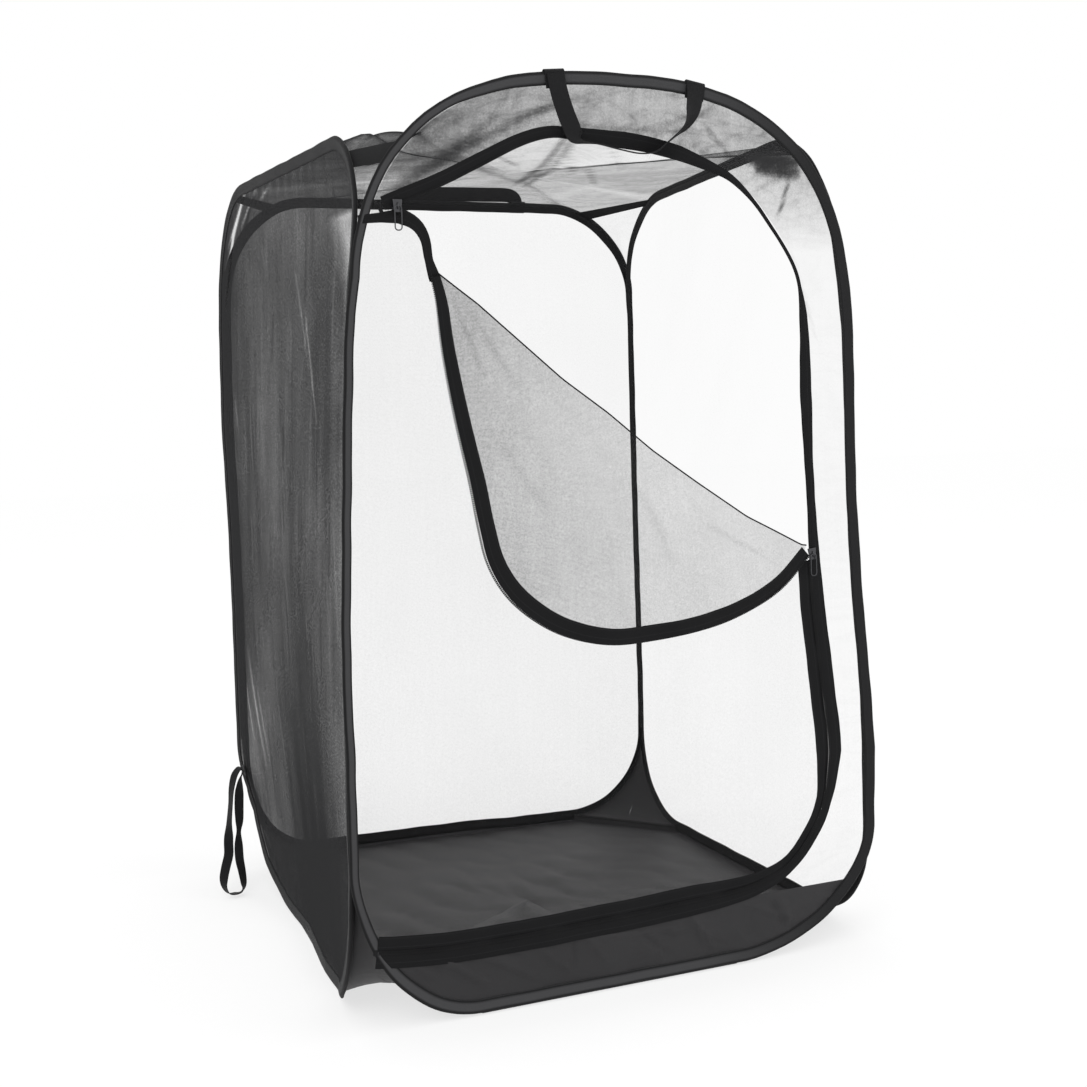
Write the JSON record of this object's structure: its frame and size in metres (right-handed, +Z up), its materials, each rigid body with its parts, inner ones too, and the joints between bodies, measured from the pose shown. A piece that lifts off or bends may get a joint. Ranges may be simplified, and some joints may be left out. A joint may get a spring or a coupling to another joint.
{
  "type": "insect cage",
  "caption": "Tall pop-up mesh insect cage: spring-hoop walls, net roof, solid dark floor, an arched zip door with its corner folded down, webbing handles and a storage strap.",
  "frame": {"origin": "on the ground, under the middle of everything that shows, storage strap and handles included", "axes": "+Z up, the door faces -Y, +X to the viewer's right when facing the door"},
  "size_m": [0.657, 0.6336, 0.964],
  "materials": {
    "net": "fine black polyester net, see-through",
    "sleeve": "woven black binding tape",
    "floor_cloth": "close-woven dark polyester with a faint sheen",
    "webbing": "black polypropylene webbing",
    "zip_tape": "black zip tape",
    "zip_chain": "black nylon coil",
    "spring_steel": "spring steel wire",
    "zip_metal": "nickel-plated zinc"
  },
  "bodies": {
    "back_wall": {"sleeve_back": "sleeve", "hoop_wire_back": "spring_steel", "net_back": "net", "floor_panel": "floor_cloth", "roof_panel": "net", "floor_gusset_front_right": "floor_cloth", "floor_gusset_back_right": "floor_cloth", "floor_gusset_back_left": "floor_cloth", "floor_gusset_front_left": "floor_cloth", "roof_gusset_front_right": "net", "roof_gusset_back_right": "net", "roof_gusset_back_left": "net", "roof_gusset_front_left": "net", "roof_tape_front_right": "sleeve", "roof_tape_back_right": "sleeve", "roof_tape_back_left": "sleeve", "roof_tape_front_left": "sleeve", "rear_handle_tab_left": "webbing", "rear_handle_tab_right": "webbing"},
    "left_wall": {"sleeve_left": "sleeve", "hoop_wire_left": "spring_steel", "net_left": "net", "strap_tab": "webbing"},
    "right_wall": {"sleeve_right": "sleeve", "hoop_wire_right": "spring_steel", "net_right": "net"},
    "front_wall": {"sleeve_front": "sleeve", "hoop_wire_front": "spring_steel", "sill_strip": "floor_cloth", "net_surround": "net", "net_door": "net", "zip_tape_frame": "zip_tape", "zip_tape_door": "zip_tape", "zip_tape_door_top": "zip_tape", "zip_chain_closed": "zip_chain", "zip_chain_frame": "zip_chain", "zip_stop_low": "zip_chain", "zip_stop_top": "zip_chain", "front_handle_tab_left": "webbing", "front_handle_tab_right": "webbing", "slider_upper": "zip_metal"},
    "door_corner": {"flap_net": "net", "flap_tape": "zip_tape", "flap_chain": "zip_chain"},
    "lower_slider": {"slider_lower": "zip_metal"},
    "lower_pull": {"slider_lower_pull": "zip_metal"},
    "upper_pull": {"slider_upper_pull": "zip_metal"},
    "front_handle": {"front_handle": "webbing"},
    "rear_handle": {"rear_handle": "webbing"},
    "storage_strap": {"storage_strap": "webbing"}
  },
  "joints": [
    {"name": "fold", "type": "hinge", "parent": "back_wall", "child": "left_wall", "pos_m": [-0.28352, 0.29607, 0.45], "axis": [0, 0, -1], "range_deg": [0, 85], "deforming": ["roof_panel", "roof_gusset_front_right", "roof_gusset_back_right", "roof_gusset_back_left", "roof_gusset_front_left", "roof_tape_front_right", "roof_tape_back_right", "roof_tape_back_left", "roof_tape_front_left", "floor_gusset_front_right", "floor_gusset_back_right", "floor_gusset_back_left", "floor_gusset_front_left"]},
    {"name": "fold_right", "type": "hinge", "parent": "back_wall", "child": "right_wall", "pos_m": [0.32388, 0.29607, 0.45], "axis": [0, 0, -1], "range_deg": [0, 85]},
    {"name": "fold_front", "type": "hinge", "parent": "left_wall", "child": "front_wall", "pos_m": [-0.28352, -0.28933, 0.45], "axis": [0, 0, 1], "range_deg": [0, 85]},
    {"name": "door_corner", "type": "hinge", "parent": "front_wall", "child": "door_corner", "pos_m": [-0.17882, -0.29228, 0.755], "axis": [-0.8209, 0, 0.571], "range_deg": [0, 155]},
    {"name": "lower_slider", "type": "slide", "parent": "front_wall", "child": "lower_slider", "axis": [0.0885, 0, -0.9961], "range_m": [0, 0.23]},
    {"name": "lower_pull", "type": "hinge", "parent": "lower_slider", "child": "lower_pull", "pos_m": [0.25518, -0.29873, 0.447], "axis": [-1, 0, 0], "range_deg": [0, 165]},
    {"name": "upper_pull", "type": "hinge", "parent": "front_wall", "child": "upper_pull", "pos_m": [-0.21282, -0.29873, 0.8288], "axis": [-1, 0, 0], "range_deg": [0, 165]},
    {"name": "front_handle", "type": "hinge", "parent": "front_wall", "child": "front_handle", "pos_m": [-0.03982, -0.29633, 0.96134], "axis": [-0.9996, 0, 0.0272], "range_deg": [0, 165]},
    {"name": "rear_handle", "type": "hinge", "parent": "back_wall", "child": "rear_handle", "pos_m": [0.14918, 0.30307, 0.906], "axis": [-1, 0, 0], "range_deg": [0, 150]},
    {"name": "storage_strap", "type": "hinge", "parent": "left_wall", "child": "storage_strap", "pos_m": [-0.29054, 0.26387, 0.148], "axis": [0, 1, 0], "range_deg": [0, 90]}
  ],
  "couplings": [
    {"joint": "fold_right", "follows": "fold", "ratio": 1},
    {"joint": "fold_front", "follows": "fold", "ratio": 1}
  ]
}
